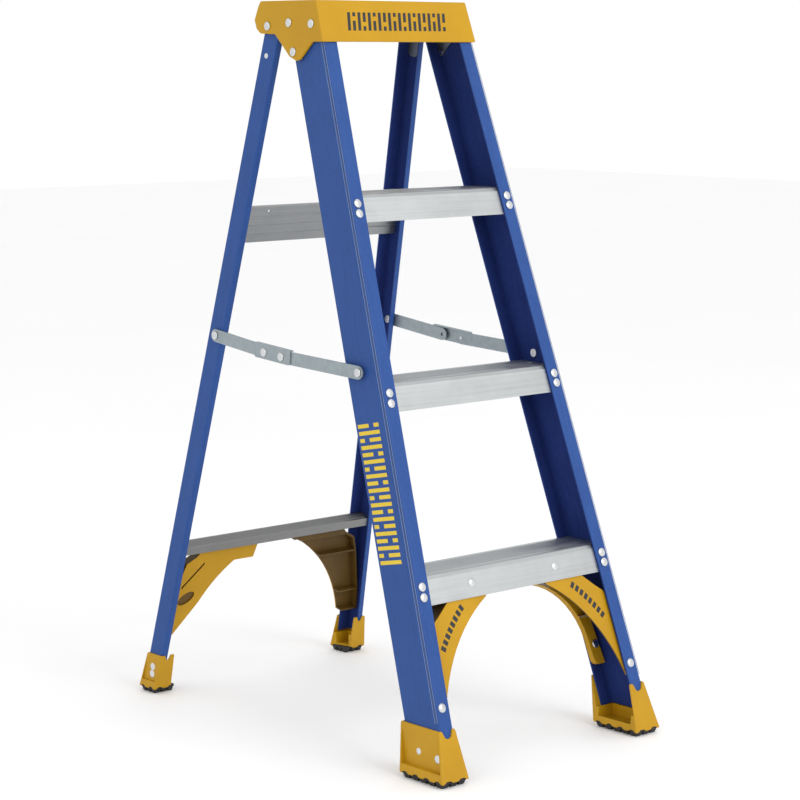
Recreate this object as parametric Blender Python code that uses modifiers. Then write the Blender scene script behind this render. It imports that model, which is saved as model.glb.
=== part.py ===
"""Fibreglass step ladder with three steps and a top cap, standing open. Metres, +Z up.

The front section leans back, the rear section hangs from a rivet at each end of the cap, and
a folding spreader on each side holds the two apart. The origin is on the floor, midway
between the front and the rear feet, and -Y is the side that is climbed.
"""

import math

import bmesh
import bpy
from mathutils import Matrix, Vector

GAP = 0.0003  # between pieces that touch
SIDES = {"left": -1, "right": 1}
QUARTER_TURN = math.pi / 2

# Front section: the outer front corner of each rail starts here on the floor.
FRONT_FOOT_Y = -0.3946
FRONT_LEAN = math.radians(18.35)
FRONT_HALF_WIDTH = 0.22988
FRONT_FLARE = math.radians(3.37)
FRONT_WEB = 0.0791
FRONT_FLANGE = 0.0267
FRONT_WALL = 0.0035
FRONT_CORNER = 0.004

# Rear section: its frame starts at the hinge, so heights along the rails are negative.
HINGE_Y = 0.1145
HINGE_Z = 1.146
REAR_LEAN = math.radians(13.06)
REAR_HALF_AT_HINGE = 0.15906
REAR_FLARE = math.radians(3.64)
REAR_WEB_AHEAD = 0.0252
REAR_WEB_BEHIND = 0.0118
REAR_FRONT_FLANGE = 0.011
REAR_FLANGE = 0.026
REAR_WALL = 0.0032
REAR_CORNER = 0.003
REAR_TOP = 0.018

RAIL_TOP = 1.1797

# Steps: height of each tread, one foot apart along the rails.
TREADS = {"bottom": 0.3053, "middle": 0.5941, "top": 0.8829}
STEP_WALL = 0.002
APRON = 0.0437
APRON_LIP = 0.007
NOSE = 0.006
GROOVES = 10
GROOVE_DEPTH = 0.0007
GROOVE_MARGIN = 0.008
FLANGE_RIVET_INSET = 0.0133
UPPER_RIVET_BELOW_TREAD = 0.01295
LOWER_RIVET_BELOW_TREAD = 0.02845

# Top cap: its side outline is measured from the hinge, behind it and above it.
CAP_TOP = 0.0404
CAP_FRONT_WALL = 0.004
CAP_HALF_AT_FLOOR = 0.2355
CAP_TAPER = 0.06201
CAP_SIDE_WALL = 0.0042
CAP_ROOF = 0.0056
CAP_SKIRT = -0.0256
CAP_REAR = ((0.0219, 0.0404), (0.0274, 0.0325), (0.0360, 0.0104), (0.0295, -0.0043), (0.0193, -0.0119))
CAP_EAR = ((-0.0185, -0.0133), (-0.0589, -0.0494), (-0.0761, -0.0560), (-0.0857, -0.0533), (-0.1128, -0.0273))
CAP_INNER_REAR = ((0.0190, 0.0348), (0.0235, 0.0315), (0.0318, 0.0104), (0.0260, -0.0020), (0.0260, -0.0700))
CAP_TRAY = (0.146, 0.0058, 0.0024)  # half width, margin from the edges, depth
CAP_RIVETS = {"front": (0.0040, 1.1486), "rear": (0.0602, 1.1506), "lower": (0.0460, 1.1041)}

# Spreaders: pivots on the front and rear rails, and the two on the lock plate, all at rest.
SPREADER_X = 0.1938
FRONT_PIVOT = (-0.1486, 0.6087)
FRONT_KNUCKLE = (0.0408, 0.6162)
REAR_KNUCKLE = (0.0852, 0.61945)
REAR_PIVOT = (0.2215, 0.6351)
BAR_WIDTH = 0.0215
BAR_THICKNESS = 0.0025
LOCK_PLATE_OVERHANG = 0.0236
LOCK_PLATE_WALL = 0.0018
LOCK_PLATE_CORNER = 0.004
SPACER = 0.0058

# Rivets
SHANK = 0.003
HEAD = 0.00725
HEAD_HEIGHT = 0.0026
TAIL = 0.0046
NUT = 0.0068
BAR_CLEARANCE = 0.0005
TAIL_HEIGHT = 0.0016
SEAT = 0.0005  # under a head on a wall that is a degree off square
TILTED_SEAT = 0.0008  # under a head on a flared wall
TURNING_STEPS = 14

# Feet: a sole's span across and along Y, then heights above the floor
FRONT_SOLE = ((0.186, 0.2425), (-0.3937, -0.2945))
REAR_SOLE = ((0.194, 0.2410), (0.3480, 0.3937))
FRONT_SHOE_TOP = 0.083
REAR_SHOE_TOP = 0.068
SKIRT_BOTTOM = 0.0072
SOLE_BOTTOM = 0.0115
SOLE_TOP = 0.0145
RIDGE = 0.021  # top of the flare at the foot of the outer wall
RAIL_LEDGE = 0.034  # the rail stands on this
INNER_LIP = 0.005
SHOE_WALL = 0.0026
SHOE_ROUND = 0.0022
LEDGE_WIDTH = 0.0055
RECESS_MARGIN = 0.004
SLOT = (0.0045, 0.0015)  # half length and half width of the openings in a sole
LUG_DEPTH = 0.0072
REAR_SHOE_SLANT = 0.012  # the front face is this much narrower than the rear one
SHOE_OVERRUN = 0.03  # how far the cutters pass a shoe
RECESS_SPLAY = 0.0015
RAIL_ROOM_MARGIN = 0.004
SLOT_PLACES = (0.3, 0.7)  # shares of the floor's length
SLOT_ROUNDING = 0.9
FRONT_NOTCH = (0.0155, 0.0125)  # half width and depth
REAR_NOTCH = (0.0085, 0.0085)
NOTCH_REACH = 0.012
GROOVE_SHARES = (0.2, 0.07)  # half widths of a groove's foot and tip, in lug pitches
PAD_OVERRUN = 0.01
FRONT_LUGS = (3, 5)  # across and along
REAR_LUGS = (3, 3)
NOTCH_SHAPE = ((-1, -0.9), (-0.42, 0.82), (-0.14, 1), (0.14, 1), (0.42, 0.82), (1, -0.9))

# Braces: each is an arch whose inner edge is one arc. Heights are above the floor at the front
# plane of the section, so what lies deeper in a front brace stands lower, and in a rear one higher.
BRACE_WALL = 0.003
POCKET_OVERRUN = 0.012
ARC_LIMIT = 0.98  # an arc ends at this share of its radius above its centre
RIM_ARC_LIMIT = 0.995
ARC_STEPS = 12
POCKET_ARC_STEPS = 16
TAB_STEPS = 5
DIMPLE_STEPS = 20
BRACE_NOTCH = (0.057, 0.152)
FRONT_ARC = (-0.054, 0.024, 0.264)  # centre across, centre height, radius
FRONT_BRACE_DEPTH = (0.0061, 0.0730)
FRONT_BRACE_BOTTOM = 0.096
FRONT_BRACE_ARC_TOP = 0.259
FRONT_BRACE_OUTER = (
    (0.2115, 0.140), (0.2030, 0.193), (0.1950, 0.221), (0.1890, 0.2314), (0.1726, 0.2425), (0.1490, 0.2605),
    (0.1430, 0.292), (0.0600, 0.292),
)
FRONT_POCKET_WALLS = (
    (0.2400, 0.086), (0.2400, 0.186), (0.2006, 0.1911), (0.1922, 0.2190), (0.1865, 0.2288), (0.1712, 0.2392),
    (0.1500, 0.2540),
)
FRONT_POCKETS = ((0.086, 0.1966), (0.2003, 0.2533))
FRONT_RIM = 0.010
RIM_ARC = (0.0695, 0.1456, 0.1198)
TAB = (0.2032, 0.1327, 0.0122)  # centre across and height, radius of its lower corner
REAR_ARC = (-0.0485, 0.0155, 0.243)
REAR_BRACE_DEPTH = (0.0152, 0.0318)
REAR_BRACE_BOTTOM = 0.078
REAR_BRACE_OUTER = ((0.2185, 0.118), (0.2000, 0.195), (0.1900, 0.224), (0.1700, 0.2340), (0.1640, 0.2400))
REAR_BRACE_TIP = {"left": (0.0330, 0.0440, 0.2180), "right": (0.0440, 0.0470, 0.2360)}  # top, foot, its height
REAR_BRACE_POINT = (0.150, 0.2120, 0.086)  # where the left brace leaves its arc, and its lower end
REAR_POCKET_WALLS = (
    (0.2200, 0.081), (0.2150, 0.118), (0.1968, 0.194), (0.1872, 0.2212), (0.1690, 0.2305), (0.0850, 0.2305),
)
REAR_POCKETS = ((0.081, 0.1165), (0.1195, 0.1945), (0.1975, 0.2305))
GROOVE_LINE = ((0.1949, 0.1811), (0.1511, 0.2211), 0.0024)
DIMPLE = ((0.1826, 0.1606), (0.0186, 0.0092), -0.43)
FACE_CUT = 0.0022

# Cap bracket, hinge plate and rear horizontals
PLATE = 0.002
BRACKET_CORNERS = (("front", 0.0082, 110, 200), ("lower", 0.0044, 200, 330), ("rear", 0.0056, -30, 110))
HINGE_PLATE = ((-0.0155, -0.0490), (0.0075, 0.0125))
HINGE_PLATE_CORNER = 0.007
REAR_TREAD_HEIGHT = 0.261
REAR_TREAD_LIP = 0.0145
REAR_FACE_BOTTOM = 0.791
REAR_FACE_TOP = 0.850
REAR_FACE_DEPTH = 0.020
REAR_FACE_LIP = 0.008
REAR_FACE_RIDGES = 3
REAR_FACE_HOLE = (-0.112, 0.0075, 0.0022)  # across, below the top, radius
REAR_TREAD_RIDGES = 4
RIDGE_HALF_WIDTH = 0.0015
RIDGE_HEIGHT = 0.0011
REAR_SHEET = 0.0018


# Collections, materials and meshes


def clear_scene():
    for obj in list(bpy.data.objects):
        bpy.data.objects.remove(obj, do_unlink=True)


def new_collection(name):
    collection = bpy.data.collections.new(name)
    bpy.context.scene.collection.children.link(collection)
    return collection


def new_material(name, color, metallic, roughness):
    material = bpy.data.materials.new(name)
    material.use_nodes = True
    shader = material.node_tree.nodes["Principled BSDF"]
    shader.inputs["Base Color"].default_value = (*color, 1)
    shader.inputs["Metallic"].default_value = metallic
    shader.inputs["Roughness"].default_value = roughness
    return material


def new_empty(name, location, rotation=(0, 0, 0), parent=None):
    empty = bpy.data.objects.new(name, None)
    empty.location = location
    empty.rotation_euler = rotation
    empty.parent = parent
    PARTS.objects.link(empty)
    return empty


def new_part(name, mesh, material, parent=None, location=(0, 0, 0), rotation=(0, 0, 0)):
    part = bpy.data.objects.new(name, mesh)
    part.location = location
    part.rotation_euler = rotation
    part.parent = parent
    mesh.materials.append(material)
    PARTS.objects.link(part)
    return part


def new_cutter(name, mesh, parent=None, location=(0, 0, 0), rotation=(0, 0, 0)):
    cutter = bpy.data.objects.new(name, mesh)
    cutter.location = location
    cutter.rotation_euler = rotation
    cutter.parent = parent
    cutter.hide_render = True
    cutter.display_type = "WIRE"
    CUTTERS.objects.link(cutter)
    return cutter


def cut(part, cutter):
    modifier = part.modifiers.new(cutter.name, "BOOLEAN")
    modifier.operation = "DIFFERENCE"
    modifier.solver = "EXACT"
    modifier.object = cutter


def round_edges(part, width, segments, angle=30):
    modifier = part.modifiers.new("rounded_edges", "BEVEL")
    modifier.width = width
    modifier.segments = segments
    modifier.limit_method = "ANGLE"
    modifier.angle_limit = math.radians(angle)


def finish_mesh(bm, name):
    """The bmesh as a mesh whose faces all point out, smooth across its round stretches."""
    bmesh.ops.recalc_face_normals(bm, faces=bm.faces)
    if bm.calc_volume(signed=True) < 0:
        bmesh.ops.reverse_faces(bm, faces=bm.faces)
    mesh = bpy.data.meshes.new(name)
    bm.to_mesh(mesh)
    bm.free()
    mesh.shade_smooth()
    mesh.set_sharp_from_angle(angle=math.radians(35))
    return mesh


def outline_mesh(name, loops, low, high, axes):
    """A flat outline with holes, extruded from low to high.

    axes says where the outline's two directions and its thickness lie, as three letters:
    "yzx" is a side view and "xzy" a front view.
    """
    curve = bpy.data.curves.new(name, "CURVE")
    curve.dimensions = "2D"
    curve.fill_mode = "BOTH"
    curve.extrude = (high - low) / 2
    for loop in loops:
        spline = curve.splines.new("POLY")
        spline.points.add(len(loop) - 1)
        for point, (across, up) in zip(spline.points, loop):
            point.co = (across, up, 0, 1)
        spline.use_cyclic_u = True
    guide = bpy.data.objects.new(name, curve)
    CUTTERS.objects.link(guide)
    graph = bpy.context.evaluated_depsgraph_get()
    flat = bpy.data.meshes.new_from_object(guide.evaluated_get(graph))
    bm = bmesh.new()
    bm.from_mesh(flat)
    bmesh.ops.remove_doubles(bm, verts=bm.verts, dist=1e-6)
    order = [axes.index(letter) for letter in "xyz"]
    for vert in bm.verts:
        vert.co.z += (low + high) / 2
        vert.co = Vector(vert.co[i] for i in order)
    bpy.data.objects.remove(guide)
    bpy.data.curves.remove(curve)
    bpy.data.meshes.remove(flat)
    return finish_mesh(bm, name)


def hexahedron(name, low_corners, high_corners):
    """A cube primitive with its eight corners moved; each list goes round counterclockwise."""
    bm = bmesh.new()
    bmesh.ops.create_cube(bm, size=2)
    ring = [(-1, -1), (1, -1), (1, 1), (-1, 1)]
    for vert in bm.verts:
        corner = ring.index((round(vert.co.x), round(vert.co.y)))
        vert.co = (high_corners if vert.co.z > 0 else low_corners)[corner]
    return finish_mesh(bm, name)


def box_mesh(name, low, high):
    ring = [(low[0], low[1]), (high[0], low[1]), (high[0], high[1]), (low[0], high[1])]
    return hexahedron(name, [(*p, low[2]) for p in ring], [(*p, high[2]) for p in ring])


def arc(centre, radius, start, end, steps):
    """Points of an arc, angles in degrees."""
    angles = [math.radians(start + (end - start) * i / steps) for i in range(steps + 1)]
    return [(centre[0] + radius * math.cos(a), centre[1] + radius * math.sin(a)) for a in angles]


def circle(centre, radius, steps=12):
    return arc(centre, radius, 0, 360 * (steps - 1) / steps, steps - 1)


def rounded_rectangle(low, high, radius, steps=3):
    (left, bottom), (right, top) = low, high
    return (
        arc((left + radius, bottom + radius), radius, 180, 270, steps)
        + arc((right - radius, bottom + radius), radius, 270, 360, steps)
        + arc((right - radius, top - radius), radius, 0, 90, steps)
        + arc((left + radius, top - radius), radius, 90, 180, steps)
    )


# Places on the two sections


def front_y(height, depth=0):
    """Y of a point on the front section, this deep behind its front plane."""
    return FRONT_FOOT_Y + height * math.tan(FRONT_LEAN) + depth / math.cos(FRONT_LEAN)


def front_along(height, depth=0):
    """Distance up the front frame of a point at this height above the floor."""
    return height / math.cos(FRONT_LEAN) + depth * math.tan(FRONT_LEAN)


def front_web_x(y, z):
    """Outer face of the front rail's web, across from the middle."""
    along = (y - FRONT_FOOT_Y) * math.sin(FRONT_LEAN) + z * math.cos(FRONT_LEAN)
    return FRONT_HALF_WIDTH - along * math.tan(FRONT_FLARE)


def front_local(y, z):
    """Depth and distance up the front frame of a point in a side view."""
    ahead = y - FRONT_FOOT_Y
    depth = ahead * math.cos(FRONT_LEAN) - z * math.sin(FRONT_LEAN)
    return depth, ahead * math.sin(FRONT_LEAN) + z * math.cos(FRONT_LEAN)


def rear_along(height, depth=0):
    """Distance up the rear frame, from the hinge, of a point at this height above the floor."""
    return (height - HINGE_Z) / math.cos(REAR_LEAN) - depth * math.tan(REAR_LEAN)


def rear_y(height, depth):
    """Y of a point on the rear section, this deep behind the hinge's plane."""
    along = rear_along(height, depth)
    return HINGE_Y + depth * math.cos(REAR_LEAN) - along * math.sin(REAR_LEAN)


def rear_up(y, z):
    """Distance up the rear frame, from the hinge, of a point in a side view."""
    return (z - HINGE_Z) * math.cos(REAR_LEAN) - (y - HINGE_Y) * math.sin(REAR_LEAN)


def rear_web_x(along):
    """Outer face of the rear rail's web, across from the middle."""
    return REAR_HALF_AT_HINGE - along * math.tan(REAR_FLARE)


def cap_x(z):
    """Outer face of the cap's side, across from the middle."""
    return CAP_HALF_AT_FLOOR - CAP_TAPER * z


def stretch_across(mesh, half_width):
    """Moves the two ends of an extrusion along X out to half_width(y, z)."""
    for vert in mesh.vertices:
        vert.co.x = math.copysign(half_width(vert.co.y, vert.co.z), vert.co.x)


# Rivets and their holes


def rivet(name, parent, location, rotation, grip, seat=SEAT, collar=None, head=HEAD, tail=TAIL):
    """A domed rivet along its own Z, its head above the origin and its tail under the grip."""
    outline = [(head * math.sin(a), seat + HEAD_HEIGHT * (0.2 + 0.8 * math.cos(a)))
               for a in (0, 0.45, 0.9, 1.3, QUARTER_TURN)]
    outline += [(head, seat), (SHANK, seat)]
    if collar:
        top, bottom, radius = collar
        outline += [(SHANK, -top), (radius, -top), (radius, -bottom)]
    if tail:
        outline += [(SHANK, -collar[1])] if collar else []
        outline += [(SHANK, -grip - seat), (tail, -grip - seat), (tail, -grip - seat - TAIL_HEIGHT)]
    elif not collar:
        outline.append((SHANK, -grip))
    outline.append((0, outline[-1][1]))
    mesh = bpy.data.meshes.new(name)
    edges = [(i, i + 1) for i in range(len(outline) - 1)]
    mesh.from_pydata([(r, 0, z) for r, z in outline], edges, [])
    part = new_part(name, mesh, MATERIALS["rivet"], parent, location, rotation)
    turn = part.modifiers.new("turned", "SCREW")
    turn.axis = "Z"
    turn.steps = TURNING_STEPS
    turn.render_steps = TURNING_STEPS
    turn.use_merge_vertices = True
    turn.merge_threshold = 1e-6
    turn.use_smooth_shade = True
    return part


def drill(part, rivets, depth=0.04, clearance=GAP):
    """Cuts a clearance hole through the part along each rivet."""
    bpy.context.view_layer.update()
    bm = bmesh.new()
    for fastener in rivets:
        bmesh.ops.create_cone(
            bm, cap_ends=True, segments=12, radius1=SHANK + clearance, radius2=SHANK + clearance,
            depth=depth, matrix=fastener.matrix_world @ Matrix.Translation((0, 0, -depth / 4)),
        )
    cut(part, new_cutter(part.name + "_holes", finish_mesh(bm, part.name + "_holes")))


# Rails


def channel_outline(side, web, flanges, wall, corner, start=0.0):
    """A channel open towards the middle: X runs inwards from the web, Y along the web."""
    front, rear = flanges
    outer = arc((corner, start + corner), corner, 270, 180, 3)
    outer += arc((corner, start + web - corner), corner, 180, 90, 3)
    inner = [(rear, start + web), (rear, start + web - wall), (wall, start + web - wall)]
    inner += [(wall, start + wall), (front, start + wall), (front, start)]
    return [(-side * across, along) for across, along in outer + inner]


def rail_mesh(name, outline, bottom, top):
    """The channel along Z, each end cut level: bottom and top give the height at a depth."""
    mesh = outline_mesh(name, [outline], -1, 1, "xyz")
    for vert in mesh.vertices:
        vert.co.z = (top if vert.co.z > 0 else bottom)(vert.co.y)
    return mesh


def front_rail(name, side, frame, rivets):
    flanges = (FRONT_FLANGE, FRONT_FLANGE)
    outline = channel_outline(side, FRONT_WEB, flanges, FRONT_WALL, FRONT_CORNER)
    bottom = RAIL_LEDGE + GAP + FRONT_FLANGE * math.sin(FRONT_FLARE)
    mesh = rail_mesh(
        name, outline, lambda depth: front_along(bottom, depth), lambda depth: front_along(RAIL_TOP, depth)
    )
    part = new_part(name, mesh, MATERIALS["rail"], frame)
    drill(part, rivets)


def rear_rail(name, side, frame, rivets):
    web = REAR_WEB_AHEAD + REAR_WEB_BEHIND
    flanges = (REAR_FRONT_FLANGE, REAR_FLANGE)
    outline = channel_outline(side, web, flanges, REAR_WALL, REAR_CORNER, -REAR_WEB_AHEAD)
    bottom = RAIL_LEDGE + GAP + REAR_FLANGE * math.sin(REAR_FLARE)
    mesh = rail_mesh(name, outline, lambda depth: rear_along(bottom, depth), lambda depth: REAR_TOP)
    part = new_part(name, mesh, MATERIALS["rail"], frame)
    drill(part, rivets)


# Steps


def step_point(depth, height):
    """A point of a step's section, this deep behind the front plane and above the tread."""
    return (height * math.tan(FRONT_LEAN) + depth / math.cos(FRONT_LEAN), height)


def step_outline():
    """A step's section: an apron at the front and the rear, each with a return at its foot."""
    front = FRONT_WALL + GAP
    rear = FRONT_WEB - FRONT_WALL - GAP
    wall = STEP_WALL
    nose = step_point(front, 0)[0] + NOSE
    outer = [step_point(front, -APRON), step_point(front, -NOSE)]
    outer += arc((nose, -NOSE), NOSE, 150, 90, 3)
    end = step_point(rear, 0)[0]
    pitch = (end - nose - 2 * GROOVE_MARGIN) / GROOVES
    for i in range(GROOVES):
        start = nose + GROOVE_MARGIN + i * pitch
        outer += [(start, 0), (start + pitch * 0.25, -GROOVE_DEPTH)]
        outer += [(start + pitch * 0.5, -GROOVE_DEPTH), (start + pitch * 0.75, 0)]
    outer += [step_point(rear, 0), step_point(rear, -APRON)]
    inner = [step_point(rear - APRON_LIP, -APRON), step_point(rear - APRON_LIP, wall - APRON)]
    inner += [step_point(rear - wall, wall - APRON), step_point(rear - wall, -wall - GROOVE_DEPTH)]
    inner += [(nose, -wall - GROOVE_DEPTH), step_point(front + wall, -NOSE - wall)]
    inner += [step_point(front + wall, wall - APRON)]
    inner += [step_point(front + APRON_LIP, wall - APRON), step_point(front + APRON_LIP, -APRON)]
    return outer + inner


def notch_returns(part):
    """Cuts the returns at the foot of both aprons away where the braces come up between them."""
    near, far = BRACE_NOTCH
    low, high = -APRON - STEP_WALL, -APRON + 2 * STEP_WALL
    front, rear = (depth + sign * (GAP / 2) for depth, sign in zip(FRONT_BRACE_DEPTH, (-1, 1)))
    outline = [step_point(front, low), step_point(rear, low), step_point(rear, high), step_point(front, high)]
    for label, side in SIDES.items():
        ends = sorted((side * near, side * far))
        mesh = outline_mesh(f"{part.name}_notch_{label}", [outline], *ends, "yzx")
        cut(part, new_cutter(mesh.name, mesh, location=part.location))


def step(name, tread, rivets):
    mesh = outline_mesh(name, [step_outline()], -1, 1, "yzx")
    base = front_y(tread)
    stretch_across(mesh, lambda y, z: front_web_x(y + base, z + tread) - FRONT_WALL - GAP)
    part = new_part(name, mesh, MATERIALS["aluminium"], location=(0, base, tread))
    drill(part, rivets)


# Top cap


def cap_front(height, depth):
    """A point of the cap's outline at this height above the hinge, on the front wall."""
    return (front_y(HINGE_Z + height, depth) - HINGE_Y, height)


def top_cap(name, rivets):
    outline = [cap_front(CAP_SKIRT, -GAP - CAP_FRONT_WALL), cap_front(CAP_TOP, -GAP - CAP_FRONT_WALL)]
    outline += [*CAP_REAR, *CAP_EAR, cap_front(CAP_SKIRT, 0.022)]
    mesh = outline_mesh(name, [outline], -1, 1, "yzx")
    stretch_across(mesh, lambda y, z: cap_x(z + HINGE_Z))
    part = new_part(name, mesh, MATERIALS["cap"], location=(0, HINGE_Y, HINGE_Z))
    round_edges(part, 0.0028, 2)

    ceiling = CAP_TOP - CAP_ROOF
    inside = [cap_front(-0.07, -GAP), cap_front(ceiling, -GAP), *CAP_INNER_REAR]
    hollow = outline_mesh(name + "_hollow", [inside], -1, 1, "yzx")
    stretch_across(hollow, lambda y, z: cap_x(z + HINGE_Z) - CAP_SIDE_WALL)
    cut(part, new_cutter(name + "_hollow", hollow, location=(0, HINGE_Y, HINGE_Z)))

    half_width, margin, depth = CAP_TRAY
    front, rear = cap_front(CAP_TOP, 0)[0] + margin, CAP_REAR[0][0] - margin
    tray = rounded_rectangle((-half_width, front), (half_width, rear), 0.012)
    mesh = outline_mesh(name + "_tray", [tray], CAP_TOP - depth, CAP_TOP + depth, "xyz")
    cut(part, new_cutter(name + "_tray", mesh, location=(0, HINGE_Y, HINGE_Z)))
    drill(part, rivets)


def cap_bracket(name, side, frame, rivets):
    """A three-cornered backing plate inside the front rail's web, under the cap's rivets."""
    outline = []
    for key, radius, start, end in BRACKET_CORNERS:
        outline += arc(front_local(*CAP_RIVETS[key]), radius, start, end, 4)
    face = FRONT_WALL + GAP
    low, high = sorted((-side * face, -side * (face + PLATE)))
    mesh = outline_mesh(name, [outline], low, high, "yzx")
    part = new_part(name, mesh, MATERIALS["steel"], frame)
    drill(part, rivets)


def rear_hinge_plate(name, side, frame, rivets):
    """A plate inside the rear rail's web, from the hinge down past the rail's upper rivet."""
    outline = rounded_rectangle(*HINGE_PLATE, HINGE_PLATE_CORNER)
    face = REAR_WALL + GAP
    low, high = sorted((-side * face, -side * (face + PLATE)))
    mesh = outline_mesh(name, [outline], low, high, "yzx")
    part = new_part(name, mesh, MATERIALS["steel"], frame)
    drill(part, rivets)


# Feet


def shoe_ring(side, spans, height):
    """Four corners at this height, spans being mirrored to the side."""
    (near, far), (first, last) = spans
    low, high = sorted((side * near, side * far))
    return [(low, first, height), (high, first, height), (high, last, height), (low, last, height)]


def shoe_cut(part, side, label, low, high):
    """Cuts a hexahedron out of a shoe: low and high are each a height and the spans there."""
    mesh = hexahedron(part.name + label, shoe_ring(side, *low[::-1]), shoe_ring(side, *high[::-1]))
    cut(part, new_cutter(mesh.name, mesh))


def inset(spans, amounts):
    """Spans with their four ends moved in by these amounts."""
    (near, far), (first, last) = spans
    inner, outer, ahead, behind = amounts
    return ((near + inner, far - outer), (first + ahead, last - behind))


def scallops(start, end, count):
    """Arches cut up into a shoe's skirt, between teeth at its corners and evenly spaced."""
    pitch = (end - start) / count
    shape = ((0.14, -SKIRT_BOTTOM), (0.86, -SKIRT_BOTTOM), (0.86, SKIRT_BOTTOM), (0.64, SOLE_BOTTOM - GAP))
    shape += ((0.36, SOLE_BOTTOM - GAP), (0.14, SKIRT_BOTTOM))
    return [[(start + (i + share) * pitch, height) for share, height in shape] for i in range(count)]


def shoe(name, side, sole, top, rail_span, lugs, notch):
    """A tapered boot round the foot of a rail, open at the top and towards the middle.

    rail_span gives the rail's own span at a height. The rail stands on a ledge inside, and a
    skirt with scalloped edges hangs round the pad.
    """
    top_span = inset(rail_span(top), (0, -SHOE_WALL, -SHOE_WALL, -SHOE_WALL))
    boot = hexahedron(name, shoe_ring(side, sole, SKIRT_BOTTOM), shoe_ring(side, top_span, top))
    part = new_part(name, boot, MATERIALS["shoe"])
    round_edges(part, SHOE_ROUND, 2)

    past = SHOE_OVERRUN
    above = top + past
    room = [(height, inset(rail_span(height), (-past, 0, 0, 0))) for height in (RAIL_LEDGE, above)]
    shoe_cut(part, side, "_rail_room", *room)
    well = inset(rail_span(RAIL_LEDGE), (-past, LEDGE_WIDTH, LEDGE_WIDTH, LEDGE_WIDTH))
    shoe_cut(part, side, "_well", (SOLE_TOP + INNER_LIP, well), (RAIL_LEDGE + GAP, well))
    floor = ((sole[0][0] + SHOE_WALL, well[0][1]), well[1])
    shoe_cut(part, side, "_floor", (SOLE_TOP, floor), (SOLE_TOP + INNER_LIP + GAP, floor))
    pad_room = inset(sole, (SHOE_WALL,) * 4)
    shoe_cut(part, side, "_pad_room", (-past, pad_room), (SOLE_BOTTOM, pad_room))

    recess = []
    for height, clear in ((RIDGE, 0), (above, RECESS_SPLAY)):
        share = (height - SKIRT_BOTTOM) / (top - SKIRT_BOTTOM)
        first, last = (a + (b - a) * share for a, b in zip(sole[1], top_span[1]))
        wall = rail_span(height)[0][1] + SHOE_WALL + clear
        recess.append((height, ((wall, wall + past), (first + RECESS_MARGIN, last - RECESS_MARGIN))))
    shoe_cut(part, side, "_recess", *recess)

    across, along = lugs
    (inner, outer), (ahead, behind) = sole
    ends = sorted((side * inner, side * outer))
    for label, loops, reach, axes in (
        ("_scallops_x", scallops(*ends, across - 1), (ahead - past, behind + past), "xzy"),
        ("_scallops_y", scallops(ahead, behind, along - 1), (ends[0] - past, ends[1] + past), "yzx"),
    ):
        cut(part, new_cutter(name + label, outline_mesh(name + label, loops, *reach, axes)))

    half_length, half_width = SLOT
    middle = side * (floor[0][0] + floor[0][1]) / 2
    slots = []
    for share in SLOT_PLACES:
        y = floor[1][0] + (floor[1][1] - floor[1][0]) * share
        slots.append(rounded_rectangle(
            (middle - half_width, y - half_length), (middle + half_width, y + half_length), half_width * SLOT_ROUNDING
        ))
    cut(part, new_cutter(name + "_slots", outline_mesh(name + "_slots", slots, 0, SOLE_TOP + GAP, "xyz")))

    centre, width, depth = notch
    wedge = [(side * (centre + width * across), top - depth * down) for across, down in NOTCH_SHAPE]
    mesh = outline_mesh(name + "_notch", [wedge], ahead - past, top_span[1][0] + NOTCH_REACH, "xzy")
    cut(part, new_cutter(name + "_notch", mesh))
    return part


def front_shoe(name, side):
    def rail_span(height):
        start, end = front_y(height), front_y(height, FRONT_WEB)
        outer = front_web_x(start, height)
        return ((outer - FRONT_FLANGE - RAIL_ROOM_MARGIN, outer + GAP), (start - GAP, end + GAP))

    centre = rail_span(FRONT_SHOE_TOP)[0][1] - FRONT_FLANGE / 2
    shoe(name, side, FRONT_SOLE, FRONT_SHOE_TOP, rail_span, FRONT_LUGS, (centre, *FRONT_NOTCH))


def rear_shoe(name, side):
    def rail_span(height):
        start = rear_y(height, -REAR_WEB_AHEAD)
        end = start + (REAR_WEB_AHEAD + REAR_WEB_BEHIND) / math.cos(REAR_LEAN)
        outer = rear_web_x(rear_along(height, REAR_WEB_BEHIND))
        return ((outer - REAR_FLANGE - RAIL_ROOM_MARGIN, outer + GAP), (start - GAP, end + GAP))

    centre = rail_span(REAR_SHOE_TOP)[0][1] - REAR_FRONT_FLANGE
    part = shoe(name, side, REAR_SOLE, REAR_SHOE_TOP, rail_span, REAR_LUGS, (centre, *REAR_NOTCH))
    (inner, _), (ahead, behind) = REAR_SOLE
    slanted = [(inner + REAR_SHOE_SLANT, ahead), (inner, behind), (inner - REAR_SHOE_SLANT, behind)]
    slanted += [(inner + k * REAR_SHOE_SLANT, ahead - REAR_SHOE_SLANT) for k in (-1, 1)]
    outline = [(side * x, y) for x, y in slanted]
    mesh = outline_mesh(name + "_slant", [outline], 0, REAR_SHOE_TOP + REAR_SHOE_SLANT, "xyz")
    cut(part, new_cutter(mesh.name, mesh))


def lug_grooves(start, end, count):
    """Grooves between lugs, and a chamfer at each end, cut up into a pad from below."""
    pitch = (end - start) / count
    foot, tip = (pitch * share for share in GROOVE_SHARES)
    edges = [start + i * pitch for i in range(count + 1)]
    return [[(x - foot, -LUG_DEPTH), (x + foot, -LUG_DEPTH), (x + foot, 0), (x + tip, LUG_DEPTH),
             (x - tip, LUG_DEPTH), (x - foot, 0)] for x in edges]


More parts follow.
